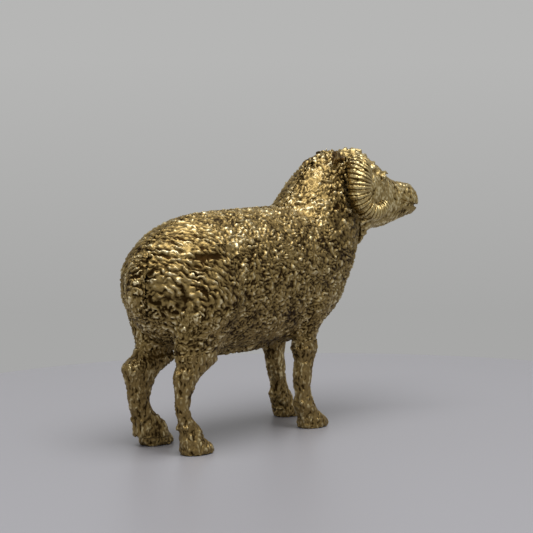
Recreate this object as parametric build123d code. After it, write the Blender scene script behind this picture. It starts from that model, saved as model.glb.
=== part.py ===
# Ram figurine, cast in brass in sections and gilt.
#
# The animal stands on four cloven hooves and looks a little to its right. It is
# put together as small sectional castings are: two hollow fleece shells that meet
# on the middle plane over dowels, four lower legs, a head and a tail that plug in
# by round tenons, and two ridged horns and two ears pegged into the head. The
# joints lie where the fleece ends.
#
# While modelling, +X points along the barrel to the breast, +Y to the animal's
# left and +Z up, with Z 0 on the ground and X 0 halfway along the barrel. The
# finished parts are moved so that the origin is the centre of the footprint.
import os
from math import cos, pi, radians, sin

from build123d import *

# Driving dimensions, millimetres and degrees

# Barrel of the body
BARREL_LENGTH = 61.8         # rump to breast
BARREL_MIDDLE_X = -0.4
BARREL_WIDTH = 25.0          # across the ribs
BACK_Z = 45.7                # top of the back
BELLY_Z = 17.0               # underside of the belly
WALL = 2.2                   # thickness of the fleece shells

# Neck fleece
NECK_ROOT = (13.0, 33.4)     # X and Z of the root, inside the shoulders
NECK_ROOT_DEPTH = 24.0       # nape to breast
NECK_ROOT_WIDTH = 21.0
NECK_ROOT_LEAN = 48.0        # how far the neck points above level

# Head, placed by the centre of the skull
SKULL_CENTRE = (33.0, -1.0, 50.4)
HEAD_TURN = 20.0             # to the animal's right
FACE_LENGTH = 18.0           # skull centre to the end of the muzzle
SKULL_WIDTH = 11.6
SKULL_DEPTH = 18.2           # crown to the angle of the jaw
MUZZLE_WIDTH = 6.0
MUZZLE_DEPTH = 8.0
COLLAR_BACK = 1.3            # skull centre back to the middle of the collar seat
COLLAR_DOWN = 3.3
COLLAR_LEAN = 21.0           # how far the collar seat looks above level
COLLAR_DEPTH = 20.5
COLLAR_WIDTH = 12.8
NECK_TENON_DIAMETER = 5.0
NECK_TENON_LENGTH = 6.0

# Woolly cap between the horns: its size, and its middle from the skull centre
TOPKNOT_SIZE = (9.6, 7.6, 6.0)
TOPKNOT_FORWARD = 0.9
TOPKNOT_UP = 4.0

# Face
EYE_DIAMETER = 2.0
EYE_FORWARD = 7.0            # from the skull centre
EYE_OUT = 3.9
EYE_UP = 0.4
EYE_SOCKET = (1.25, 0.6, 0.95)   # hollow round the eye, in eye diameters
BROW_SIZE = (3.8, 2.2, 1.1)
BROW_UP = 1.15               # above the eye
BROW_TILT = 12.0
NOSTRIL_DIAMETER = 1.0
NOSTRIL_DEPTH = 3.0
NOSTRIL_BACK = 1.9           # behind the end of the muzzle
NOSTRIL_OUT = 1.1
NOSTRIL_DOWN = 3.6
MOUTH_GAP = 0.4
MOUTH_DOWN = 6.1             # below the skull centre, at the end of the muzzle
MOUTH_TILT = 14.0
MOUTH_LENGTH = 6.0
MOUTH_DEPTH = 0.7

# Horns
HORN_COIL_REACH = 4.5        # centre line of the coil, half its length along the head
HORN_COIL_DROP = 4.9         # half its height
HORN_COIL_FORWARD = 1.7      # coil centre from the skull centre
HORN_COIL_DOWN = 1.8
HORN_ROOT_ANGLE = 100.0      # root above the muzzle direction, round the coil
HORN_SWEEP = 222.0           # root to tip, round the coil
HORN_ROOT_OUT = 3.6          # centre line beside the middle of the head, at the root
HORN_SPREAD = 9.4            # the same where the coil stands clear
HORN_TIP_OUT = 7.6           # the same at the tip
HORN_ROOT_DIAMETER = 5.2
HORN_FULL_DIAMETER = 5.4
HORN_TIP_DIAMETER = 2.4
HORN_FULL_SHARE = 0.34       # how far along it is thickest and stands widest
HORN_RIDGES = 13
GROOVE = 0.7                 # width of the grooves between the ridges
HORN_PEG_DIAMETER = 2.2
HORN_PEG_LENGTH = 2.4

# Ears
EAR_LENGTH = 5.6
EAR_WIDTH = 3.4
EAR_THICKNESS = 1.0
EAR_BACK = 4.0               # root behind the skull centre
EAR_OUT = 4.2
EAR_UP = 4.6
EAR_REACH = (0.82, 0.54)     # how an ear points: backward and outward
EAR_LEFT_DROOP = 0.75        # fall of the left ear against its reach
EAR_RIGHT_DROOP = -0.05      # the right ear is held just above level
EAR_PEG_DIAMETER = 1.2
EAR_PEG_LENGTH = 2.2

# Tail
TAIL_ROOT_Z = 38.9
TAIL_LENGTH = 13.5
TAIL_WIDTH = 5.2
TAIL_THICKNESS = 3.4
TAIL_PEG_DOWN = 0.35         # share of the tail above its peg
TAIL_PEG_DIAMETER = 2.4
TAIL_PEG_LENGTH = 3.0

# Legs
HIND_HEM_Z = 18.0            # fleece hem on the hind legs
FORE_HEM_Z = 17.3            # fleece hem on the forelegs
CLAW_LENGTH = 7.6
CLAW_WIDTH = 2.6
CLAW_HEIGHT = 3.4
HOOF_AHEAD = 0.8             # middle of the sole ahead of the shank's foot
CLEFT = 0.4                  # gap between the two claws of a hoof
DEWCLAW_WIDTH = 1.3
LEG_TENON_DIAMETER = 2.6
LEG_TENON_LENGTH = 5.0

# Fits and fixings
SEAT_GAP = 0.08              # radial clearance round tenons and pegs
HORN_CLEARANCE = 0.3         # between a horn and the fleece it lies on
END_GAP = 0.3                # clearance at the bottom of a socket
DOWEL_DIAMETER = 1.6
DOWEL_LENGTH = 7.0
DOWEL_CHAMFER = 0.2
DOWEL_BOSS_DIAMETER = 4.2
DOWEL_BOSS_SUNK = 0.9        # how deep a boss lies in the wall
DOWEL_BOSS_END = 1.0         # metal beyond the bottom of a dowel's hole

# The four legs: X and Y of the hem and of the hoof, the hem's length and width, how
# far the cannon stands behind the line from hem to hoof, and the girth of the shank
LEGS = {
    "hind_right": dict(hem=(-21.5, -6.2), hoof=(-22.6, -6.6), size=(11.0, 5.2), bow=3.4, girth=1.0),
    "hind_left": dict(hem=(-20.6, 6.0), hoof=(-20.2, 6.0), size=(8.6, 5.4), bow=3.8, girth=1.42),
    "fore_right": dict(hem=(12.2, -6.0), hoof=(14.0, -6.2), size=(6.0, 5.0), bow=1.8, girth=1.0),
    "fore_left": dict(hem=(16.8, 6.2), hoof=(21.4, 6.2), size=(5.8, 5.0), bow=0.6, girth=1.04),
}


# Helpers

def oval(plane, length, width):
    """An elliptical section, its full length along the plane's X."""
    return plane * Ellipse(length / 2, width / 2)


def level(x, y, z):
    """A horizontal section plane."""
    return Plane(origin=(x, y, z), x_dir=(1, 0, 0), z_dir=(0, 0, 1))


def column(stations):
    """A limb lofted through level ovals, each (z, x, y, length, width)."""
    return loft([oval(level(x, y, z), length, width) for z, x, y, length, width in stations])


def rod(start, direction, diameter, length):
    """A round rod that starts at a point and runs along a direction."""
    seat = Plane(origin=start, z_dir=direction)
    return seat * Cylinder(diameter / 2, length, align=(Align.CENTER, Align.CENTER, Align.MIN))


def between(a, b, share):
    return a + (b - a) * share


def largest(shape):
    """The main solid of a cut shape, without the slivers that the cut leaves."""
    return max(shape.solids(), key=lambda solid: solid.volume)


# Directions and seats

MIDDLE_Z = (BACK_Z + BELLY_Z) / 2
BARREL_HEIGHT = BACK_Z - BELLY_Z
RUMP_X = BARREL_MIDDLE_X - BARREL_LENGTH / 2
FORWARD = Vector(1, 0, 0)
LEFT = Vector(0, 1, 0)
UP = Vector(0, 0, 1)

head_forward = Vector(cos(radians(HEAD_TURN)), -sin(radians(HEAD_TURN)), 0)
head_left = Vector(sin(radians(HEAD_TURN)), cos(radians(HEAD_TURN)), 0)
skull_centre = Vector(*SKULL_CENTRE)


def in_head(forward, left, up):
    """A point given from the skull centre, in the head's own directions."""
    return skull_centre + head_forward * forward + head_left * left + UP * up


def leaning(origin, forward, lean):
    """A section plane across a neck or head that points lean degrees above level.
    Its X runs up the section, so the length of an oval there is nape to throat."""
    axis = forward * cos(radians(lean)) + UP * sin(radians(lean))
    nape = UP * cos(radians(lean)) - forward * sin(radians(lean))
    return Plane(origin=origin, x_dir=nape, z_dir=axis)


collar_centre = in_head(-COLLAR_BACK, 0, -COLLAR_DOWN)
collar = leaning(collar_centre, head_forward, COLLAR_LEAN)


# Fleece

# Cross-sections of the barrel: place along it from rump 0 to breast 1, how far its
# middle is above the barrel's, its height and its width, as shares of the barrel's.
BARREL_FORM = (
    (0.025, 0.02, 0.46, 0.46),
    (0.08, 0.01, 0.67, 0.71),
    (0.17, 0.00, 0.87, 0.89),
    (0.32, 0.00, 0.985, 0.98),
    (0.48, 0.00, 1.00, 1.00),
    (0.64, 0.01, 0.99, 0.97),
    (0.78, 0.02, 0.93, 0.89),
    (0.90, 0.04, 0.72, 0.68),
    (0.97, 0.06, 0.40, 0.38),
)


def barrel(inset=0.0):
    """The barrel of the body, drawn in by the wall thickness for its core."""
    reach = BARREL_LENGTH / 2 - inset
    sections = []
    for along, lift, height, width in BARREL_FORM:
        centre = (BARREL_MIDDLE_X + reach * (2 * along - 1), 0, MIDDLE_Z + lift * BARREL_HEIGHT)
        plane = Plane(origin=centre, x_dir=(0, 0, 1), z_dir=(1, 0, 0))
        sections.append(oval(plane, height * BARREL_HEIGHT - 2 * inset, width * BARREL_WIDTH - 2 * inset))
    rump = Vertex(BARREL_MIDDLE_X - reach, 0, MIDDLE_Z + BARREL_FORM[0][1] * BARREL_HEIGHT)
    breast = Vertex(BARREL_MIDDLE_X + reach, 0, MIDDLE_Z + BARREL_FORM[-1][1] * BARREL_HEIGHT)
    return loft([rump, *sections, breast])


# Up the neck: share of the way from root to collar, bulge towards the nape, depth,
# width and lean
NECK_FORM = (
    (0.0, -0.8, NECK_ROOT_DEPTH, NECK_ROOT_WIDTH, NECK_ROOT_LEAN),
    (0.4, -1.4, 23.8, 20.0, 40.0),
    (0.72, 0.1, 23.6, 17.0, 31.0),
    (1.0, 0.0, COLLAR_DEPTH, COLLAR_WIDTH, COLLAR_LEAN),
)


def neck():
    """The neck fleece, from inside the shoulders to the collar."""
    root = Vector(NECK_ROOT[0], 0, NECK_ROOT[1])
    sections = []
    for share, bulge, depth, width, lean in NECK_FORM:
        middle = between(root, collar_centre, share)
        plane = leaning(middle, between(FORWARD, head_forward, share).normalized(), lean)
        seat = Plane(origin=plane.origin + plane.x_dir * bulge, x_dir=plane.x_dir, z_dir=plane.z_dir)
        sections.append(oval(seat, depth, width))
    return loft(sections)


def upper_leg(hem_z, leg, form):
    """The woolly upper part of a leg. Each row of the form is its height above the hem,
    how far it lies ahead of the hem, how deep inside the ribs its middle is, and how much
    longer and wider than the hem it is."""
    x, y = leg["hem"]
    length, width = leg["size"]
    side = 1 if y > 0 else -1
    stations = [(hem_z, x, y, length, width)]
    for rise, ahead, inside, longer, wider in form:
        beside = y if inside is None else side * (BARREL_WIDTH / 2 - inside)
        stations.append((hem_z + rise, x + ahead, beside, length + longer, width + wider))
    return column(stations)


HAUNCH_FORM = (
    (3.5, 1.6, None, 3.4, 2.0),
    (9.0, 3.2, 5.6, 7.4, 6.0),
    (16.0, 4.2, 6.2, 7.6, 6.6),
    (22.0, 5.2, 7.6, 3.4, 4.0),
)
SHOULDER_FORM = (
    (3.0, -0.2, None, 1.6, 1.0),
    (8.0, -0.4, 5.9, 6.4, 5.0),
    (15.0, -0.2, 8.0, 7.0, 5.6),
    (21.0, -0.2, 9.2, 4.0, 3.0),
)


def is_hind(name):
    return name.startswith("hind")


def hem_of(name):
    """The point at the middle of a leg's hem, where the lower leg seats."""
    x, y = LEGS[name]["hem"]
    return Vector(x, y, HIND_HEM_Z if is_hind(name) else FORE_HEM_Z)


# Dowels across the middle plane: X, and whether it is under the back or over the belly
DOWEL_SEATS = ((-17.0, True), (5.0, True), (-14.0, False), (6.0, False))


def dowel_centre(x, under_back):
    inward = WALL + DOWEL_BOSS_DIAMETER / 2 - DOWEL_BOSS_SUNK
    return Vector(x, 0, BACK_Z - inward if under_back else BELLY_Z + inward)


def across(seat, diameter, length):
    """A round bar across the middle plane, centred on a dowel's seat."""
    return rod(dowel_centre(*seat) - LEFT * (length / 2), LEFT, diameter, length)


def dowels():
    """The four loose dowels that line up the fleece shells."""
    pins = [across(seat, DOWEL_DIAMETER, DOWEL_LENGTH) for seat in DOWEL_SEATS]
    return Compound(children=[chamfer(pin.edges(), DOWEL_CHAMFER) for pin in pins])


def fleece_form(side):
    """One solid half of the fleece: side is 1 for the left and -1 for the right."""
    outward = Align.MIN if side > 0 else Align.MAX
    half = Box(4 * BARREL_LENGTH, BARREL_WIDTH, 4 * BACK_Z, align=(Align.CENTER, outward, Align.CENTER))
    form = (barrel() & half) + (neck() & half)
    for name, leg in LEGS.items():
        if leg["hem"][1] * side > 0:
            form = form + upper_leg(hem_of(name).Z, leg, HAUNCH_FORM if is_hind(name) else SHOULDER_FORM)
    return form


def fleece_core():
    """The hollow inside the fleece, without the bosses that hold the dowels."""
    core = barrel(WALL)
    hole_length = DOWEL_LENGTH + 2 * END_GAP
    for seat in DOWEL_SEATS:
        core = core - across(seat, DOWEL_BOSS_DIAMETER, hole_length + 2 * DOWEL_BOSS_END)
    return core


def fleece_shell(side):
    """One fleece shell, with the sockets and seats of all that it carries."""
    shell = fleece_form(side) - fleece_core()
    cuts = []
    for seat in DOWEL_SEATS:
        cuts.append(across(seat, DOWEL_DIAMETER + 2 * SEAT_GAP, DOWEL_LENGTH + 2 * END_GAP))
    for name, leg in LEGS.items():
        if leg["hem"][1] * side > 0:
            cuts.append(rod(hem_of(name), UP, LEG_TENON_DIAMETER + 2 * SEAT_GAP, LEG_TENON_LENGTH + END_GAP))
    neck_hole = NECK_TENON_DIAMETER + 2 * SEAT_GAP
    cuts.append(rod(collar_centre, -collar.z_dir, neck_hole, NECK_TENON_LENGTH + END_GAP))
    cuts.append(rod(tail_seat(), FORWARD, TAIL_PEG_DIAMETER + 2 * SEAT_GAP, TAIL_PEG_LENGTH + 2 * WALL))
    cuts.append(on_side(horn_tube(HORN_CLEARANCE)[0], side))
    cuts.append(ear_leaf(side, SEAT_GAP))
    for cut in cuts:
        shell = shell - cut
    return largest(shell)


# Tail

# Down the tail: share of its length, how far behind the rump's end its middle lies,
# and its width and thickness as shares of the full ones
TAIL_FORM = (
    (0.00, -3.0, 0.70, 0.80),
    (0.20, -0.9, 0.94, 1.00),
    (0.50, 0.2, 1.00, 1.00),
    (0.80, -0.2, 0.84, 0.92),
    (1.00, -1.2, 0.40, 0.50),
)


def tail_seat():
    """A point inside the tail, level with its peg."""
    return Vector(RUMP_X - 0.6, 0, TAIL_ROOT_Z - TAIL_PEG_DOWN * TAIL_LENGTH)


def tail():
    """The woolly tail, shaped to the rump behind it, with the peg that holds it."""
    stations = []
    for share, behind, width, thickness in reversed(TAIL_FORM):
        z = TAIL_ROOT_Z - share * TAIL_LENGTH
        stations.append((z, RUMP_X - behind, 0, thickness * TAIL_THICKNESS, width * TAIL_WIDTH))
    hanging = largest(column(stations) - barrel(-SEAT_GAP))
    return hanging + rod(tail_seat(), FORWARD, TAIL_PEG_DIAMETER, TAIL_PEG_LENGTH)


# Lower legs

# Down a shank: share of the hem's height, share of the bow, length and width
HIND_SHANK = (
    (0.88, 0.40, 8.8, 4.5),
    (0.76, 0.85, 5.8, 3.8),
    (0.62, 1.00, 4.0, 3.2),
    (0.46, 1.00, 3.4, 2.9),
    (0.33, 0.60, 4.2, 3.4),
    (0.21, 0.25, 5.4, 4.3),
    (0.10, 0.10, 6.0, 4.6),
)
FORE_SHANK = (
    (0.86, 0.20, 5.5, 4.3),
    (0.74, 0.50, 4.8, 4.0),
    (0.62, 0.85, 4.5, 4.0),
    (0.48, 1.00, 3.8, 3.6),
    (0.34, 0.85, 4.6, 4.0),
    (0.21, 0.50, 5.6, 4.6),
    (0.10, 0.20, 6.0, 4.8),
)


# Up a hoof: share of its height, how far ahead of the shank's foot its middle is, and
# its length and width as shares of the sole's
HOOF_FORM = (
    (0.0, HOOF_AHEAD, 1.00, 1.00),
    (0.3, 0.7, 1.04, 1.04),
    (0.7, 0.1, 0.82, 0.92),
    (1.0, -0.6, 0.60, 0.80),
)


def hoof(x, y):
    """A hoof with a flat sole, its toe towards +X."""
    width = 2 * CLAW_WIDTH + CLEFT
    stations = []
    for rise, ahead, long, wide in HOOF_FORM:
        stations.append((rise * CLAW_HEIGHT, x + ahead, y, long * CLAW_LENGTH, wide * width))
    return column(stations)


def lower_leg(name):
    """One lower leg with its hoof, dewclaws and the tenon that plugs into the fleece."""
    leg = LEGS[name]
    hem = hem_of(name)
    hoof_x, hoof_y = leg["hoof"]
    length, width = leg["size"]
    stations = [(hem.Z, hem.X, hem.Y, length, width)]
    for share, bow, long, wide in HIND_SHANK if is_hind(name) else FORE_SHANK:
        x = between(hoof_x, hem.X, share) - bow * leg["bow"]
        y = between(hoof_y, hem.Y, share)
        stations.append((share * hem.Z, x, y, long * leg["girth"], wide * leg["girth"]))
    stations.reverse()
    shank = column(stations) + hoof(hoof_x, hoof_y)

    z, x, y, long, wide = stations[2]
    for side in (-1, 1):
        dewclaw = scale(Sphere(DEWCLAW_WIDTH / 2), by=(1.3, 1.0, 1.6))
        shank = shank + Pos(x - long / 3, y + side * wide / 4, z - DEWCLAW_WIDTH / 2) * dewclaw

    # the cleft runs from ahead of the toe to a third of the hoof's length from its heel
    cleft = Box(1.35 * CLAW_LENGTH, CLEFT, 1.7 * CLAW_HEIGHT, align=(Align.MAX, Align.CENTER, Align.CENTER))
    shank = shank - Pos(hoof_x + HOOF_AHEAD + CLAW_LENGTH, hoof_y, 0) * cleft
    return shank + rod(hem, UP, LEG_TENON_DIAMETER, LEG_TENON_LENGTH)


# Head

# From the collar to the muzzle: forward and up from the skull centre, lean, depth and width
HEAD_FORM = (
    (3.0, -3.4, 8.0, SKULL_DEPTH, SKULL_WIDTH),
    (7.4, -3.9, -4.0, 0.75 * SKULL_DEPTH, 0.82 * SKULL_WIDTH),
    (0.59 * FACE_LENGTH, -5.2, -10.0, 1.30 * MUZZLE_DEPTH, 1.26 * MUZZLE_WIDTH),
    (0.84 * FACE_LENGTH, -4.9, -16.0, MUZZLE_DEPTH, MUZZLE_WIDTH),
    (0.95 * FACE_LENGTH, -5.3, -16.0, 0.74 * MUZZLE_DEPTH, 0.8 * MUZZLE_WIDTH),
)


def head_form(inset=0.0):
    """The plain form of the head, drawn in for the floor of the mouth."""
    sections = [oval(collar, COLLAR_DEPTH - 2 * inset, COLLAR_WIDTH - 2 * inset)]
    for forward, up, lean, depth, width in HEAD_FORM:
        plane = leaning(in_head(forward, 0, up), head_forward, lean)
        sections.append(oval(plane, depth - 2 * inset, width - 2 * inset))
    muzzle_end = in_head(FACE_LENGTH - inset, 0, HEAD_FORM[-1][1] - 0.3)
    return loft([*sections, Vertex(*muzzle_end)])


def ear_root(side):
    return in_head(-EAR_BACK, side * EAR_OUT, EAR_UP)


def ear_direction(side):
    """The right ear is held level and back; the left one hangs."""
    back, out = EAR_REACH
    droop = EAR_LEFT_DROOP if side > 0 else EAR_RIGHT_DROOP
    return (head_left * side * out - head_forward * back - UP * droop).normalized()


def lump(centre, size, tilt=0.0):
    """A rounded lump on the head, turned with it: its length, width and height."""
    turned = Pos(*centre) * Rot(0, tilt, -HEAD_TURN)
    length, width, height = size
    return turned * scale(Sphere(0.5), by=(length, width, height))


def topknot(grow=0.0):
    """The woolly cap between the horns."""
    return lump(in_head(TOPKNOT_FORWARD, 0, TOPKNOT_UP), [size + 2 * grow for size in TOPKNOT_SIZE])


def head():
    """The head casting, from the collar seat to the muzzle."""
    form = head_form()
    mouth = leaning(in_head(FACE_LENGTH, 0, -MOUTH_DOWN), head_forward, -MOUTH_TILT)
    slot = mouth * Box(MOUTH_GAP, 2 * MUZZLE_WIDTH, 2 * MOUTH_LENGTH)
    form = form - (slot - head_form(MOUTH_DEPTH))
    form = form + topknot()
    for side in (-1, 1):
        eye = in_head(EYE_FORWARD, side * EYE_OUT, EYE_UP)
        outside = in_head(EYE_FORWARD, side * (EYE_OUT + EYE_DIAMETER / 4), EYE_UP)
        form = form - lump(outside, [EYE_DIAMETER * share for share in EYE_SOCKET])
        form = form + Pos(*eye) * Sphere(EYE_DIAMETER / 2)
        brow = in_head(EYE_FORWARD, side * (EYE_OUT - EYE_DIAMETER / 4), EYE_UP + BROW_UP)
        form = form + lump(brow, BROW_SIZE, BROW_TILT)
        nostril = in_head(FACE_LENGTH - NOSTRIL_BACK, side * NOSTRIL_OUT, -NOSTRIL_DOWN)
        form = form - rod(nostril, head_forward + head_left * side, NOSTRIL_DIAMETER, NOSTRIL_DEPTH)
        form = form - on_side(horn_peg(HORN_PEG_DIAMETER + 2 * SEAT_GAP, END_GAP), side)
        ear_hole = EAR_PEG_DIAMETER + 2 * SEAT_GAP
        form = form - rod(ear_root(side), -ear_direction(side), ear_hole, EAR_PEG_LENGTH + END_GAP)
    return form + rod(collar_centre, -collar.z_dir, NECK_TENON_DIAMETER, NECK_TENON_LENGTH)


# Horns

def horn_line(share):
    """The left horn's centre line: root at 0, tip at 1."""
    angle = radians(HORN_ROOT_ANGLE + share * HORN_SWEEP)
    if share < HORN_FULL_SHARE:
        out = between(HORN_ROOT_OUT, HORN_SPREAD, sin(share / HORN_FULL_SHARE * pi / 2))
    else:
        out = between(HORN_SPREAD, HORN_TIP_OUT, ((share - HORN_FULL_SHARE) / (1 - HORN_FULL_SHARE)) ** 2)
    return in_head(
        HORN_COIL_FORWARD + HORN_COIL_REACH * cos(angle),
        out,
        HORN_COIL_DROP * sin(angle) - HORN_COIL_DOWN,
    )


def horn_diameter(share):
    """Full thickness where the coil stands clear, then a taper to the tip."""
    if share < HORN_FULL_SHARE:
        return between(HORN_ROOT_DIAMETER, HORN_FULL_DIAMETER, share / HORN_FULL_SHARE)
    beyond = (share - HORN_FULL_SHARE) / (1 - HORN_FULL_SHARE)
    return between(HORN_FULL_DIAMETER, HORN_TIP_DIAMETER, beyond ** 1.5)


def horn_tube(grow=0.0):
    """The left horn's plain tapering tube and the line it follows."""
    path = Spline(*[horn_line(step / HORN_RIDGES) for step in range(HORN_RIDGES + 1)])
    sections = []
    for share in (0, 0.25, 0.5, 0.75, 1):
        sections.append(Plane(path ^ share) * Circle(horn_diameter(share) / 2 + grow))
    return sweep(sections, path=path, multisection=True), path


def horn_peg(diameter, extra):
    """The left horn's peg, or the space for it, from inside the root into the head."""
    inward = (head_left * -0.8 - UP * 0.6).normalized()
    return rod(horn_line(0.06), inward, diameter, HORN_PEG_LENGTH + extra)


def on_side(shape, side):
    """A shape made for the left of the head, or its mirror image for the right."""
    return shape if side > 0 else shape.mirror(Plane(origin=skull_centre, z_dir=head_left))


def left_horn():
    """The left horn: a coiled, tapering tube cut into broad rings by narrow grooves."""
    coil, path = horn_tube()
    for step in range(1, HORN_RIDGES):
        share = step / HORN_RIDGES
        size = horn_diameter(share)
        coil = coil - Plane(path ^ share) * Torus(size / 2, size / HORN_FULL_DIAMETER * GROOVE / 2)
    coil = coil - head_form(-SEAT_GAP) - topknot(SEAT_GAP)
    return largest(coil) + horn_peg(HORN_PEG_DIAMETER, 0)


# Out along an ear: share of its length, width and thickness as shares of the full ones
EAR_FORM = (
    (0.04, 0.50, 1.0),
    (0.35, 0.95, 1.0),
    (0.65, 0.90, 0.8),
    (0.90, 0.45, 0.6),
)


def ear_leaf(side, grow=0.0):
    """The leaf of an ear, drawn out by grow on both faces for the space it lies in."""
    root = ear_root(side)
    direction = ear_direction(side)
    plane = Plane(origin=root, x_dir=UP, z_dir=direction)
    sections = []
    for share, width, thickness in EAR_FORM:
        section = plane.offset(share * EAR_LENGTH)
        sections.append(oval(section, width * EAR_WIDTH + 2 * grow, thickness * EAR_THICKNESS + 2 * grow))
    return loft([*sections, Vertex(*(root + direction * (EAR_LENGTH + grow)))])


def ear(side):
    """A leaf-shaped ear with a peg for the head: side is 1 for the left one."""
    direction = ear_direction(side)
    inside = 0.15 * EAR_LENGTH
    peg = rod(ear_root(side) + direction * inside, -direction, EAR_PEG_DIAMETER, EAR_PEG_LENGTH + inside)
    return ear_leaf(side) + peg


# Assembly

def main():
    horn = left_horn()
    parts = {
        "fleece_shell_left": fleece_shell(1),
        "fleece_shell_right": fleece_shell(-1),
        "head": head(),
        "horn_left": on_side(horn, 1),
        "horn_right": on_side(horn, -1),
        "ear_left": ear(1),
        "ear_right": ear(-1),
        "tail": tail(),
        "seam_dowels": dowels(),
    }
    for name in LEGS:
        parts[f"leg_{name}"] = lower_leg(name)

    # The frame's origin is under the middle of the whole ram, at the soles.
    whole = Compound(children=list(parts.values())).bounding_box()
    to_origin = Pos(-whole.center().X, -whole.center().Y, -whole.min.Z)
    os.makedirs("parts", exist_ok=True)
    for name, shape in parts.items():
        placed = Compound(children=[to_origin * solid for solid in shape.solids()])
        placed.label = name
        export_step(placed, f"parts/{name}.step")


main()
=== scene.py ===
import math

import bmesh
import bpy
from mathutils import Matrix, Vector


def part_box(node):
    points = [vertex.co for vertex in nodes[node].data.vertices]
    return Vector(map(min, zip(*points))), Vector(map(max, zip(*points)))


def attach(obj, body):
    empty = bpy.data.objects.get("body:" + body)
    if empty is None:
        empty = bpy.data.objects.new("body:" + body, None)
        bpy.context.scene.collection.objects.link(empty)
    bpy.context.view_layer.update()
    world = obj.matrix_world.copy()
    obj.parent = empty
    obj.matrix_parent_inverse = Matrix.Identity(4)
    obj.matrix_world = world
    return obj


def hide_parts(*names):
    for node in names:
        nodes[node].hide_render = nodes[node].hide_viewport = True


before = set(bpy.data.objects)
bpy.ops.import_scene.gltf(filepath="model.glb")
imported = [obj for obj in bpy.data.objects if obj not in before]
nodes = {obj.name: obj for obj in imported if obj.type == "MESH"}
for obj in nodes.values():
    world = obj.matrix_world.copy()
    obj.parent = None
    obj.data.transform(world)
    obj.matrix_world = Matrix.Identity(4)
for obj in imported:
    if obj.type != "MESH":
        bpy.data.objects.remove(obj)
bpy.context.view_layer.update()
mm = 0.001
print("frame loaded:", len(nodes), "castings")

# the head looks 20 degrees to the ram's right, and the collar seat looks 21 above level
up = Vector((0, 0, 1))
headTurn, collarLean = math.radians(-20), math.radians(21)
muzzleWay = Vector((math.cos(headTurn), math.sin(headTurn), 0))
collarWay = muzzleWay * math.cos(collarLean) + up * math.sin(collarLean)

# the nodes that are used most, and the settings that they take
maths, vectorMaths, remap = "ShaderNodeMath", "ShaderNodeVectorMath", "ShaderNodeMapRange"
mix, noise, strands = "ShaderNodeMix", "ShaderNodeTexNoise", "ShaderNodeTexGabor"
times, plus, minus, over, larger, scaled, dot = [{"operation": word} for word in (
    "MULTIPLY", "ADD", "SUBTRACT", "DIVIDE", "MAXIMUM", "SCALE", "DOT_PRODUCT")]
eased, solid = {"interpolation_type": "SMOOTHSTEP"}, {"gabor_type": "3D"}
numbers, vectors, colours = [{"data_type": word} for word in ("FLOAT", "VECTOR", "RGBA")]


def addNode(tree, kind, settings=None, *plain, **named):
    # adds one node: plain values go to its sockets in use, in order, and named ones by name
    # (spaces as _). a value is a number, a socket, or a node for its first output in use
    node = tree.nodes.new(kind)
    for name, value in (settings or {}).items():
        setattr(node, name, value)
    fed = list(zip([socket for socket in node.inputs if socket.enabled], plain))
    fed += [(node.inputs[name.replace("_", " ")], value) for name, value in named.items()]
    for socket, value in fed:
        if isinstance(value, bpy.types.Node):
            value = next(output for output in value.outputs if output.enabled)
        if isinstance(value, bpy.types.NodeSocket):
            tree.links.new(value, socket)
        else:
            socket.default_value = value
    return node


def toLinear(hexColour):
    # sRGB hex to the linear values that a shader takes
    parts = [int(hexColour[i:i + 2], 16) / 255 for i in (1, 3, 5)]
    return tuple(c / 12.92 if c <= 0.04045 else ((c + 0.055) / 1.055) ** 2.4 for c in parts) + (1.0,)


# how castings become skins: welds and the reach of a joint's flat face in mm, how squarely
# that face has to look its way, and how strongly one pass smooths
casting = dict(weld=0.002, jointReach=0.12, square=0.9995, smoothing=0.5)


def flatFace(nodeName, looks):
    # how far along a direction the casting's largest flat face that looks that way lies
    areas = {}
    for face in nodes[nodeName].data.polygons:
        if face.normal.dot(looks) > casting["square"]:
            place = round(face.center.dot(looks) / mm, 2)
            areas[place] = areas.get(place, 0) + face.area
    return max(areas, key=areas.get) * mm


def middle(nodeName, way):
    # halfway between the two ends of a casting, in mm along a direction
    reach = [vert.co.dot(way) / mm for vert in nodes[nodeName].data.vertices]
    return (min(reach) + max(reach)) / 2


def castingCopy(nodeName, pieceName, grain, blend, past=()):
    # the casting's own surface as one even, closed skin: grain is its mesh size in mm and
    # blend the number of smoothing passes. past runs flat faces on beyond their joint, so
    # that no gap opens there: the way it looks, its place that way and how far in mm
    mesh = nodes[nodeName].data.copy()
    mesh.name = pieceName
    piece = bpy.data.objects.new(pieceName, mesh)
    bpy.context.scene.collection.objects.link(piece)
    form = bmesh.new()
    form.from_mesh(mesh)
    bmesh.ops.remove_doubles(form, verts=form.verts, dist=casting["weld"] * mm)
    for looks, place, beyond in past:
        for vert in form.verts:
            if abs(vert.co.dot(looks) - place) < casting["jointReach"] * mm:
                vert.co += beyond * mm * looks
    form.to_mesh(mesh)
    form.free()
    for name in [a.name for a in mesh.attributes if not a.is_required and a.name != "position"]:
        if name in mesh.attributes and not mesh.attributes[name].is_internal:
            mesh.attributes.remove(mesh.attributes[name])
    remesh = piece.modifiers.new("even skin", "REMESH")
    remesh.mode = "VOXEL"
    remesh.voxel_size = grain * mm
    remesh.use_smooth_shade = True
    smooth = piece.modifiers.new("blend", "SMOOTH")
    smooth.factor = casting["smoothing"]
    smooth.iterations = blend
    bake(piece)
    return piece


def bake(piece):
    # turns what the modifiers make into the piece's own plain mesh
    depsgraph = bpy.context.evaluated_depsgraph_get()
    made = bpy.data.meshes.new_from_object(piece.evaluated_get(depsgraph), depsgraph=depsgraph)
    old = piece.data
    piece.modifiers.clear()
    piece.data = made
    made.name = piece.name
    bpy.data.meshes.remove(old)


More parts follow.
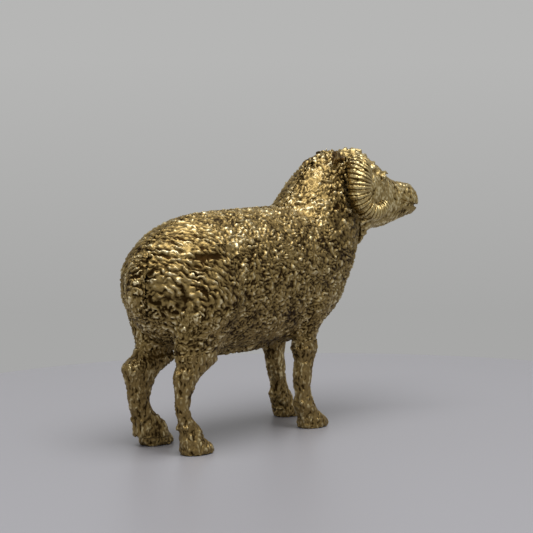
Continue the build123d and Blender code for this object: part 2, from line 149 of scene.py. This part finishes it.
def thin(piece, triangles):
    # fewer triangles where the surface is calm, so the curls keep theirs
    piece.data.calc_loop_triangles()
    now = len(piece.data.loop_triangles)
    if now > triangles:
        decimate = piece.modifiers.new("thin", "DECIMATE")
        decimate.ratio = triangles / now
        bake(piece)
    piece.data.polygons.foreach_set("use_smooth", [True] * len(piece.data.polygons))
    print(piece.name, "triangles", now, "kept", len(piece.data.polygons))


def runTree(piece, tree, **values):
    # a Geometry Nodes modifier with its inputs set by identifier, baked at once
    modifier = piece.modifiers.new(tree.name, "NODES")
    modifier.node_group = tree
    named = {item.name: item.identifier for item in tree.interface.items_tree if item.in_out == "INPUT"}
    for name, value in values.items():
        modifier[named[name.replace("_", " ")]] = value
    bake(piece)
    piece.data.materials.clear()
    piece.data.materials.append(values["Finish"])


def put(piece, nodeName):
    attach(piece, "root")
    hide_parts(nodeName)


def startTree(name, skinIn, skinOut, sizes):
    # an empty tree with named inputs, and the place on the skin in mm, whole and by axis
    tree = bpy.data.node_groups.new(name, "GeometryNodeTree")
    tree.interface.new_socket(skinIn, in_out="INPUT", socket_type="NodeSocketGeometry")
    for label, value in sizes.items():
        tree.interface.new_socket(label, in_out="INPUT", socket_type="NodeSocketFloat").default_value = value
    tree.interface.new_socket("Finish", in_out="INPUT", socket_type="NodeSocketMaterial")
    tree.interface.new_socket(skinOut, in_out="OUTPUT", socket_type="NodeSocketGeometry")
    inputs = addNode(tree, "NodeGroupInput").outputs
    place = addNode(tree, vectorMaths, scaled, addNode(tree, "GeometryNodeInputPosition"), 1 / mm)
    axes = addNode(tree, "ShaderNodeSeparateXYZ", None, place).outputs
    return tree, inputs, place, axes


def finishTree(tree, inputs, relief, whole):
    # keeps the relief for the finish to read, leaves the skin where it is 1, sinks it by
    # whole mm where it is 0, and gives the finish
    sink = addNode(tree, vectorMaths, scaled, addNode(tree, "GeometryNodeInputNormal"),
                   addNode(tree, maths, minus, relief, 1.0))
    sink = addNode(tree, vectorMaths, scaled, sink, addNode(tree, maths, times, whole, mm))
    kept = addNode(tree, "GeometryNodeStoreNamedAttribute", {"data_type": "FLOAT", "domain": "POINT"},
                   Geometry=inputs[0], Name="relief", Value=relief)
    moved = addNode(tree, "GeometryNodeSetPosition", Geometry=kept, Offset=sink)
    real = addNode(tree, "GeometryNodeRealizeInstances", Geometry=moved)
    coated = addNode(tree, "GeometryNodeSetMaterial", Geometry=real, Material=inputs["Finish"])
    addNode(tree, "NodeGroupOutput", None, coated)


# the wool, in mm: its mesh and how far it runs past the joints, then how far apart and how
# deep the curls are. each pair says where a kind of wool begins and where it is full, up,
# ahead or to the left of the ram's middle on the ground
fleece = dict(
    grain=0.155, blend=14, triangles=195000, seamOverlap=0.25, hemOverlap=0.6, collarOverlap=1.5,
    curlSpacing=1.5, curlDepth=0.68, napeSpacing=2.1, napeDepth=0.9, crimpSpacing=0.6, crimpDepth=0.1,
    waviness=0.4, backCalm=0.07, bellyWorn=0.5, combedWay=(0.5, 0.0, 0.87),
    backUp=(37.0, 43.0), neckAhead=(6.0, 13.0), neckUp=(34.0, 44.0),
    rumpAhead=(-20.0, -28.0), rumpUp=(22.0, 30.0), bellyUp=(28.0, 18.0),
    pleatAhead=4.1, pleatDown=1.2, pleatLength=6.7, pleatEnd=1.5, pleatWide=(1.0, 0.25),
    pleatLeft=(-3.0, -5.0), pleatDepth=0.85,
)


def fleeceTree():
    tree, inputs, place, axes = startTree("fleece curls", "Skin", "Fleece", {
        "Curl Spacing": fleece["curlSpacing"], "Curl Depth": fleece["curlDepth"],
        "Nape Spacing": fleece["napeSpacing"], "Nape Depth": fleece["napeDepth"],
        "Crimp Spacing": fleece["crimpSpacing"], "Crimp Depth": fleece["crimpDepth"],
        "Waviness": fleece["waviness"]})

    # the place stirred a little, so that nothing runs straight, and the same further off
    stir = addNode(tree, noise, Vector=place, Scale=0.55, Detail=2.0).outputs["Color"]
    stir = addNode(tree, vectorMaths, minus, stir, (0.5, 0.5, 0.5))
    stir = addNode(tree, vectorMaths, scaled, stir, addNode(tree, maths, times, inputs["Waviness"], 5.0))
    wavy = addNode(tree, vectorMaths, plus, place, stir)
    apart = addNode(tree, vectorMaths, plus, wavy, (41.0, 17.0, 29.0))

    # long and calm on the back, chunky on the neck, combed on the haunch, worn on the belly
    onBack = addNode(tree, remap, eased, axes["Z"], *fleece["backUp"])
    onNeck = addNode(tree, maths, times, addNode(tree, remap, eased, axes["X"], *fleece["neckAhead"]),
                     addNode(tree, remap, eased, axes["Z"], *fleece["neckUp"]))
    onRump = addNode(tree, maths, times, addNode(tree, remap, eased, axes["X"], *fleece["rumpAhead"]),
                     addNode(tree, remap, eased, axes["Z"], *fleece["rumpUp"]))
    onBelly = addNode(tree, remap, eased, axes["Z"], *fleece["bellyUp"])

    # strands lie in small tufts, each its own way, and are combed down over the haunch
    tuft = addNode(tree, noise, Vector=place, Scale=0.42, Detail=1.0).outputs["Color"]
    tuft = addNode(tree, vectorMaths, minus, tuft, (0.5, 0.5, 0.5))
    tuft = addNode(tree, vectorMaths, {"operation": "NORMALIZE"}, tuft)
    flow = addNode(tree, mix, vectors, onRump, tuft, fleece["combedWay"])
    combed = addNode(tree, maths, larger, addNode(tree, maths, times, onRump, 0.7), 0.45)

    def ridges(where, spacing, low, high, strictness):
        # round strands that follow the flow, flat below low and full above high
        rate = addNode(tree, maths, over, 0.5, spacing)
        pattern = addNode(tree, strands, solid, where, rate, 2.0, strictness, flow)
        return addNode(tree, remap, eased, pattern, low, high)

    def patches(where, perMm, low, high):
        # soft patches, so many to the mm
        pattern = addNode(tree, noise, Vector=where, Scale=perMm, Detail=1.0)
        return addNode(tree, remap, eased, pattern, low, high)

    # two layers of short round strands that break off and heap over each other
    upper = ridges(wavy, inputs["Curl Spacing"], 0.38, 0.78, combed)
    lower = ridges(apart, addNode(tree, maths, times, inputs["Curl Spacing"], 0.62), 0.36, 0.76, combed)
    broken = patches(addNode(tree, vectorMaths, plus, place, (7.0, 3.0, 11.0)), 0.8, 0.40, 0.58)
    heap = patches(apart, 0.55, 0.38, 0.62)
    upper = addNode(tree, maths, times, upper, addNode(tree, mix, numbers, broken, 0.45, 1.0))
    upper = addNode(tree, maths, times, upper, addNode(tree, mix, numbers, heap, 1.0, 0.7))
    lower = addNode(tree, maths, times, lower, addNode(tree, mix, numbers, heap, 0.55, 0.9))
    curl = addNode(tree, maths, larger, upper, lower)

    # bigger locks on the neck, crossed by smaller ones, and a fine crimp over everything
    chunky = ridges(wavy, inputs["Nape Spacing"], 0.42, 0.78, 0.3)
    chunky = addNode(tree, maths, times, chunky, addNode(tree, mix, numbers, broken, 0.7, 1.0))
    cross = ridges(apart, addNode(tree, maths, times, inputs["Nape Spacing"], 0.65), 0.30, 0.84, 0.0)
    chunky = addNode(tree, maths, larger, chunky, addNode(tree, maths, times, cross, 0.7))
    elsewhere = addNode(tree, vectorMaths, plus, place, (5.0, 23.0, 31.0))
    crimp = ridges(elsewhere, inputs["Crimp Spacing"], 0.25, 0.80, 0.0)

    # one deep pleat across the right haunch, a little below the root of the tail
    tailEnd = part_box("tail")[1]
    start, level = tailEnd[0] / mm + fleece["pleatAhead"], tailEnd[2] / mm - fleece["pleatDown"]
    end, fade = start + fleece["pleatLength"], fleece["pleatEnd"]
    off = addNode(tree, maths, {"operation": "ABSOLUTE"}, addNode(tree, maths, minus, axes["Z"], level))
    pleat = addNode(tree, maths, times, addNode(tree, remap, eased, off, *fleece["pleatWide"]),
                    addNode(tree, remap, eased, axes["Y"], *fleece["pleatLeft"]))
    pleat = addNode(tree, maths, times, pleat, addNode(tree, remap, eased, axes["X"], start, start + fade))
    pleat = addNode(tree, maths, times, pleat, addNode(tree, remap, eased, axes["X"], end, end - fade))
    unpleated = addNode(tree, maths, minus, 1.0, addNode(tree, maths, times, pleat, fleece["pleatDepth"]))
    curl = addNode(tree, maths, times, curl, unpleated)

    # the whole relief, from 0 in the hollows to 1 on the heights, and its depth in mm
    calm = addNode(tree, maths, times, onBack, fleece["backCalm"])
    relief = addNode(tree, mix, numbers, onNeck, addNode(tree, mix, numbers, calm, curl, 1.0), chunky)
    depth = addNode(tree, mix, numbers, onNeck, inputs["Curl Depth"], inputs["Nape Depth"])
    worn = addNode(tree, maths, times, onBelly, fleece["bellyWorn"])
    depth = addNode(tree, maths, times, depth, addNode(tree, maths, minus, 1.0, worn))
    whole = addNode(tree, maths, plus, depth, inputs["Crimp Depth"])
    relief = addNode(tree, maths, plus, addNode(tree, maths, times, relief, depth),
                     addNode(tree, maths, times, crimp, inputs["Crimp Depth"]))
    finishTree(tree, inputs, addNode(tree, maths, over, relief, whole), whole)
    return tree


# bare skin of face, ears and legs, in mm: low lumps, cast grain and the wool of the crown
hide = dict(
    grain=0.13, blend=14, triangles=70000, hemOverlap=1.2,
    lumpSpacing=1.2, lumpDepth=0.24, grainSpacing=0.5, grainDepth=0.18, woolSpacing=1.4, woolDepth=0.6,
    legStretch=(1.0, 1.0, 0.6), ringDrift=1.6, ringEdge=(-0.95, 0.1),
)


def hideTree():
    # wool grows above and behind a place and near the collar, and rings stand round a middle.
    # with the places as far off as here, and no rings to count, there is only bare skin
    tree, inputs, place, axes = startTree("cast hide", "Skin", "Hide", {
        "Lump Spacing": hide["lumpSpacing"], "Lump Depth": hide["lumpDepth"],
        "Grain Spacing": hide["grainSpacing"], "Grain Depth": hide["grainDepth"],
        "Wool Spacing": hide["woolSpacing"], "Wool Depth": hide["woolDepth"],
        "Wool Above": 1000.0, "Wool Behind": 1000.0, "Collar At": -1000.0,
        "Ring Count": 0.0, "Ring Depth": 0.0, "Ring Ahead": 0.0, "Ring Up": 0.0})
    drawn = addNode(tree, vectorMaths, times, place, hide["legStretch"])
    lumps = addNode(tree, noise, Vector=drawn, Scale=addNode(tree, maths, over, 1.0, inputs["Lump Spacing"]),
                    Detail=1.0, Distortion=0.6)
    grains = addNode(tree, noise, Vector=drawn, Scale=addNode(tree, maths, over, 1.0, inputs["Grain Spacing"]),
                     Detail=1.0)
    curls = addNode(tree, strands, solid, place, addNode(tree, maths, over, 0.5, inputs["Wool Spacing"]), 2.0, 0.0)
    lump = addNode(tree, remap, eased, lumps, 0.30, 0.66)
    grain = addNode(tree, remap, eased, grains, 0.32, 0.68)
    curl = addNode(tree, remap, eased, curls, 0.25, 0.80)

    # woolly on the crown and beside the collar
    above = addNode(tree, maths, minus, axes["Z"], inputs["Wool Above"])
    behind = addNode(tree, maths, minus, inputs["Wool Behind"], axes["X"])
    wool = addNode(tree, maths, times, addNode(tree, remap, eased, above, 0.0, 1.2),
                   addNode(tree, remap, eased, behind, 0.0, 1.5))
    fromCollar = addNode(tree, vectorMaths, dot, place, tuple(collarWay))
    fromCollar = addNode(tree, maths, minus, fromCollar, inputs["Collar At"])
    wool = addNode(tree, maths, larger, wool, addNode(tree, remap, eased, fromCollar, 4.0, 1.0))

    # rings that stand round the middle of the horn's curl
    along = addNode(tree, vectorMaths, dot, place, tuple(muzzleWay))
    turned = addNode(tree, maths, {"operation": "ARCTAN2"}, addNode(tree, maths, minus, axes["Z"], inputs["Ring Up"]),
                     addNode(tree, maths, minus, along, inputs["Ring Ahead"]))
    turned = addNode(tree, maths, times, turned, inputs["Ring Count"])
    turned = addNode(tree, maths, plus, turned, addNode(tree, maths, times, lumps, hide["ringDrift"]))
    ring = addNode(tree, maths, {"operation": "COSINE"}, turned)
    ring = addNode(tree, remap, eased, ring, *hide["ringEdge"])

    # the whole relief, from 0 in the hollows to 1 on the heights, and its depth in mm
    lumpDepth = addNode(tree, maths, times, inputs["Lump Depth"], addNode(tree, maths, minus, 1.0, wool))
    woolDepth = addNode(tree, maths, times, inputs["Wool Depth"], wool)
    whole = addNode(tree, maths, plus, addNode(tree, maths, plus, lumpDepth, woolDepth),
                    addNode(tree, maths, plus, inputs["Grain Depth"], inputs["Ring Depth"]))
    relief = addNode(tree, maths, plus, addNode(tree, maths, times, lump, lumpDepth),
                     addNode(tree, maths, times, curl, woolDepth))
    relief = addNode(tree, maths, plus, relief, addNode(tree, maths, times, grain, inputs["Grain Depth"]))
    relief = addNode(tree, maths, plus, relief, addNode(tree, maths, times, ring, inputs["Ring Depth"]))
    finishTree(tree, inputs, addNode(tree, maths, over, relief, whole), whole)
    return tree


# the gilding: how wide its clouds and the cast grain are in mm, the grain a little coarser
# than real so that it shows, how rough hollows and heights are, and how softly one tone goes
# over into the next
gilt = dict(
    cloud=3.846, castGrain=0.2778, roughHollow=0.55, roughHeight=0.34, bump=0.35, bumpHeight=0.06,
    wearIn=0.2, wearOut=0.15, rubAndHighlightSpread=0.2,
)


def startFinish(name):
    finish = bpy.data.materials.new(name)
    finish.use_nodes = True
    finish.node_tree.nodes.clear()
    return finish, finish.node_tree


def giltBrass(name, hollow, worn, rubAndHighlight, wornFrom, rubAndHighlightFrom, clouding=0.5):
    # gilt over cast brass: pale on the high places, partly gilt worn bright by rubbing and partly a painted
    # highlight, dull on the slopes, and dark brown in the hollows, partly old wax and partly painted shade
    finish, tree = startFinish(name)
    place = addNode(tree, "ShaderNodeTexCoord").outputs["Object"]
    cloud = addNode(tree, noise, Vector=place, Scale=1 / (gilt["cloud"] * mm), Detail=4.0)
    grain = addNode(tree, noise, Vector=place, Scale=1 / (gilt["castGrain"] * mm), Detail=3.0)
    height = addNode(tree, "ShaderNodeAttribute", {"attribute_name": "relief"}).outputs["Fac"]
    drift = addNode(tree, maths, {"operation": "MULTIPLY_ADD"}, cloud, clouding, -clouding / 2)
    height = addNode(tree, maths, plus, height, drift)
    first = addNode(tree, remap, eased, height, wornFrom - gilt["wearIn"], wornFrom + gilt["wearOut"])
    second = addNode(tree, remap, eased, height, rubAndHighlightFrom - gilt["rubAndHighlightSpread"], rubAndHighlightFrom + gilt["rubAndHighlightSpread"])
    # the hollow tone is partly painted shade, and the pale tone on the heights partly a painted highlight
    tone = addNode(tree, mix, colours, first, toLinear(hollow), toLinear(worn))
    tone = addNode(tree, mix, colours, second, tone, toLinear(rubAndHighlight))
    rough = addNode(tree, remap, None, height, 0.1, 0.9, gilt["roughHollow"], gilt["roughHeight"])
    bump = addNode(tree, "ShaderNodeBump", Strength=gilt["bump"], Distance=gilt["bumpHeight"] * mm, Height=grain)
    shader = addNode(tree, "ShaderNodeBsdfPrincipled", Base_Color=tone, Metallic=1.0, Roughness=rough, Normal=bump)
    addNode(tree, "ShaderNodeOutputMaterial", Surface=shader)
    return finish


giltFleece = giltBrass("gilt brass, curled fleece", "#33230e", "#a18956", "#ecdcb0", 0.31, 0.64, 0.7)
# the legs take the same gilt painted darker, a painted shade for the low legs turned away from the softbox
giltLegsPaintedShade = giltBrass("gilt brass, bare legs, painted darker", "#403017", "#8b754a", "#d8c696", 0.30, 0.88)
# the face takes the same gilt painted lighter, a painted light for the face turned up to the softbox
giltFacePaintedLight = giltBrass("gilt brass, bare face, painted lighter", "#4c3a1c", "#a89260", "#e2d1a2", 0.28, 0.74)
# the ears take the same gilt painted dark, a painted shade in the hollow of each ear
giltEarPaintedShade = giltBrass("gilt brass, painted shade in the ears", "#2c1e0e", "#6e5632", "#c0aa7a", 0.30, 0.80)
giltHorn = giltBrass("gilt brass, ringed horn", "#4a3819", "#a48d5a", "#dcc891", 0.34, 0.80)


# the pins: how wide and how long a draw mark is, in mm, several times the real width so that
# it shows
pin = dict(markWide=0.111, markLong=2.5, dark="#8f9296", light="#b9bcbf", rough=0.3)


def dowelSteel():
    # drawn steel pin: even grey with faint lengthwise draw marks
    finish, tree = startFinish("bright drawn steel")
    place = addNode(tree, "ShaderNodeTexCoord").outputs["Object"]
    wide, long = 1 / (pin["markWide"] * mm), 1 / (pin["markLong"] * mm)
    marks = addNode(tree, "ShaderNodeMapping", Vector=place, Scale=(wide, long, wide))
    marks = addNode(tree, noise, Vector=marks, Scale=1.0, Detail=2.0)
    tone = addNode(tree, mix, colours, marks, toLinear(pin["dark"]), toLinear(pin["light"]))
    shader = addNode(tree, "ShaderNodeBsdfPrincipled", Base_Color=tone, Metallic=1.0, Roughness=pin["rough"])
    addNode(tree, "ShaderNodeOutputMaterial", Surface=shader)
    return finish


def boardLaminate(name, colour, roughness):
    # matt laminate: one even pale grey with hardly any shine
    finish, tree = startFinish(name)
    shader = addNode(tree, "ShaderNodeBsdfPrincipled", Base_Color=toLinear(colour), Roughness=roughness)
    addNode(tree, "ShaderNodeOutputMaterial", Surface=shader)
    return finish


print("finishes made")

# the joints' flat faces: tops of the legs and the seat of the collar
legs = ("leg_fore_left", "leg_fore_right", "leg_hind_left", "leg_hind_right")
hems = {name: flatFace(name, up) for name in legs}
collar = -flatFace("head", -collarWay)
print("joint faces", {name: round(face / mm, 2) for name, face in hems.items()}, round(collar / mm, 2))

curls = fleeceTree()
for side, hand in (("left", -1), ("right", 1)):
    nodeName = f"fleece_shell_{side}"
    inward = Vector((0, hand, 0))
    past = [(inward, flatFace(nodeName, inward), fleece["seamOverlap"]),
            (collarWay, flatFace(nodeName, collarWay), fleece["collarOverlap"])]
    past += [(-up, -face, fleece["hemOverlap"]) for name, face in hems.items() if name.endswith(side)]
    shell = castingCopy(nodeName, f"fleece_{side}", fleece["grain"], fleece["blend"], past)
    runTree(shell, curls, Finish=giltFleece)
    thin(shell, fleece["triangles"])
    put(shell, nodeName)
print("fleece made")

# the tail is let a quarter deeper than its casting, so that its wool grows out of the rump
tuftedTail = dict(grain=0.1, blend=14, triangles=40000, deepen=1.25, curlDepth=0.5)
tail = castingCopy("tail", "woolly_tail", tuftedTail["grain"], tuftedTail["blend"])
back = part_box("tail")[0][0]
for vert in tail.data.vertices:
    vert.co.x = back + tuftedTail["deepen"] * (vert.co.x - back)
runTree(tail, curls, Finish=giltFleece, Curl_Depth=tuftedTail["curlDepth"])
thin(tail, tuftedTail["triangles"])
put(tail, "tail")

# the head's own settings: its wool reaches so far below the crown and ahead of the nape
headSkin = dict(
    blend=9, collarOverlap=0.8, woolBelowCrown=6.5, woolAheadOfNape=15.0, woolDepth=0.85, lumpDepth=0.17,
)

skin = hideTree()
for nodeName in ("head", "ear_left", "ear_right") + legs:
    blend, finish, past, sizes = hide["blend"], giltEarPaintedShade, [], {}
    if nodeName in legs:
        finish, past = giltLegsPaintedShade, [(up, hems[nodeName], hide["hemOverlap"])]
    if nodeName == "head":
        blend, finish = headSkin["blend"], giltFacePaintedLight
        past = [(-collarWay, -collar, headSkin["collarOverlap"])]
        nape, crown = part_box("head")[0][0] / mm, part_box("head")[1][2] / mm
        sizes = dict(Wool_Above=crown - headSkin["woolBelowCrown"], Wool_Behind=nape + headSkin["woolAheadOfNape"],
                     Collar_At=collar / mm, Wool_Depth=headSkin["woolDepth"], Lump_Depth=headSkin["lumpDepth"])
    piece = castingCopy(nodeName, "gilt_" + nodeName, hide["grain"], blend, past)
    runTree(piece, skin, Finish=finish, **sizes)
    thin(piece, hide["triangles"])
    put(piece, nodeName)
print("head, ears and legs made")

# ringShift is how far ahead of the casting's middle the rings' own middle lies, in mm
horn = dict(
    grain=0.1, blend=22, triangles=90000, lumpDepth=0.05, grainDepth=0.08, ringCount=40.0, ringDepth=0.22,
    ringShift=2.0,
)

for nodeName in ("horn_left", "horn_right"):
    piece = castingCopy(nodeName, "gilt_" + nodeName, horn["grain"], horn["blend"])
    runTree(piece, skin, Finish=giltHorn, Lump_Depth=horn["lumpDepth"], Grain_Depth=horn["grainDepth"],
            Ring_Count=horn["ringCount"], Ring_Depth=horn["ringDepth"],
            Ring_Ahead=middle(nodeName, muzzleWay) + horn["ringShift"], Ring_Up=middle(nodeName, up))
    thin(piece, horn["triangles"])
    put(piece, nodeName)
print("horns made")

pins = nodes["seam_dowels"]
pins.data.materials.clear()
pins.data.materials.append(dowelSteel())
print("pieces made")

# the round board that the ram stands on, in mm: its top is at 0 and it lies a little off the
# ram's middle
board = dict(
    top="#a9a8ad", rim="#8e8b90", topRough=0.42, rimRough=0.6, radius=110.0, height=6.0, ahead=10.8, left=-10.2,
    sides=180,
)


def turntable():
    form = bmesh.new()
    sides, radius, drop = board["sides"], board["radius"] * mm, board["height"] * mm
    around = [(board["ahead"] * mm + radius * math.cos(math.tau * i / sides),
               board["left"] * mm + radius * math.sin(math.tau * i / sides)) for i in range(sides)]
    top = [form.verts.new((x, y, 0)) for x, y in around]
    foot = [form.verts.new((x, y, -drop)) for x, y in around]
    form.faces.new(top)
    form.faces.new(list(reversed(foot)))
    for i in range(sides):
        j = (i + 1) % sides
        form.faces.new((foot[i], foot[j], top[j], top[i])).material_index = 1
    mesh = bpy.data.meshes.new("turntable")
    form.to_mesh(mesh)
    form.free()
    mesh.materials.append(boardLaminate("matt white board", board["top"], board["topRough"]))
    mesh.materials.append(boardLaminate("matt board edge", board["rim"], board["rimRough"]))
    disc = bpy.data.objects.new("turntable", mesh)
    bpy.context.scene.collection.objects.link(disc)


turntable()

# backdrop and light: low and high are the backdrop that the camera and the metal see, and
# glow is the light all round. the camera looks ahead, to the ram's left and a little down
studio = dict(low="#a7a7a6", high="#b6b6b5", glow="#949494", lowAt=-0.11, highAt=0.04)
softbox = dict(size=0.5, watts=3.3, place=(-0.10, -0.14, 0.60), aim=(0, 0, 0.03))
view = dict(place=(-0.26319, -0.21207, 0.0614), ahead=0.7771, left=0.6293, pitch=4.78, lens=112.1)


def studioWorld():
    # plain soft light all round; what the camera, metal and glass see is the pale backdrop,
    # a shade lighter upwards
    world = bpy.data.worlds.new("studio")
    bpy.context.scene.world = world
    world.use_nodes = True
    tree = world.node_tree
    tree.nodes.clear()
    way = addNode(tree, "ShaderNodeTexCoord").outputs["Generated"]
    upward = addNode(tree, "ShaderNodeSeparateXYZ", None, way).outputs["Z"]
    rise = addNode(tree, remap, None, upward, studio["lowAt"], studio["highAt"])
    shade = addNode(tree, mix, colours, rise, toLinear(studio["low"]), toLinear(studio["high"]))
    seen = addNode(tree, "ShaderNodeBackground", Color=shade, Strength=1.0)
    light = addNode(tree, "ShaderNodeBackground", Color=toLinear(studio["glow"]), Strength=1.0)
    ray = addNode(tree, "ShaderNodeLightPath").outputs
    capped = {"operation": "ADD", "use_clamp": True}
    direct = addNode(tree, maths, capped, ray["Is Camera Ray"], ray["Is Glossy Ray"])
    direct = addNode(tree, maths, capped, direct, ray["Is Transmission Ray"])
    both = addNode(tree, "ShaderNodeMixShader", None, direct, light, seen)
    addNode(tree, "ShaderNodeOutputWorld", Surface=both)


studioWorld()

light = bpy.data.lights.new("overhead softbox", "AREA")
light.size = softbox["size"]
light.energy = softbox["watts"]
stand = bpy.data.objects.new("overhead softbox", light)
stand.location = softbox["place"]
stand.rotation_euler = (Vector(softbox["aim"]) - Vector(softbox["place"])).to_track_quat("-Z", "Y").to_euler()
bpy.context.scene.collection.objects.link(stand)

cameraData = bpy.data.cameras.new("camera")
cameraData.lens = view["lens"]
cameraData.sensor_width = 36.0
cameraData.clip_start = 0.01
camera = bpy.data.objects.new("camera", cameraData)
camera.location = view["place"]
pitch = math.radians(view["pitch"])
looking = Vector((view["ahead"] * math.cos(pitch), view["left"] * math.cos(pitch), -math.sin(pitch)))
camera.rotation_euler = looking.to_track_quat("-Z", "Y").to_euler()
bpy.context.scene.collection.objects.link(camera)
bpy.context.scene.camera = camera
bpy.context.scene.view_settings.view_transform = "Standard"
print("studio set")
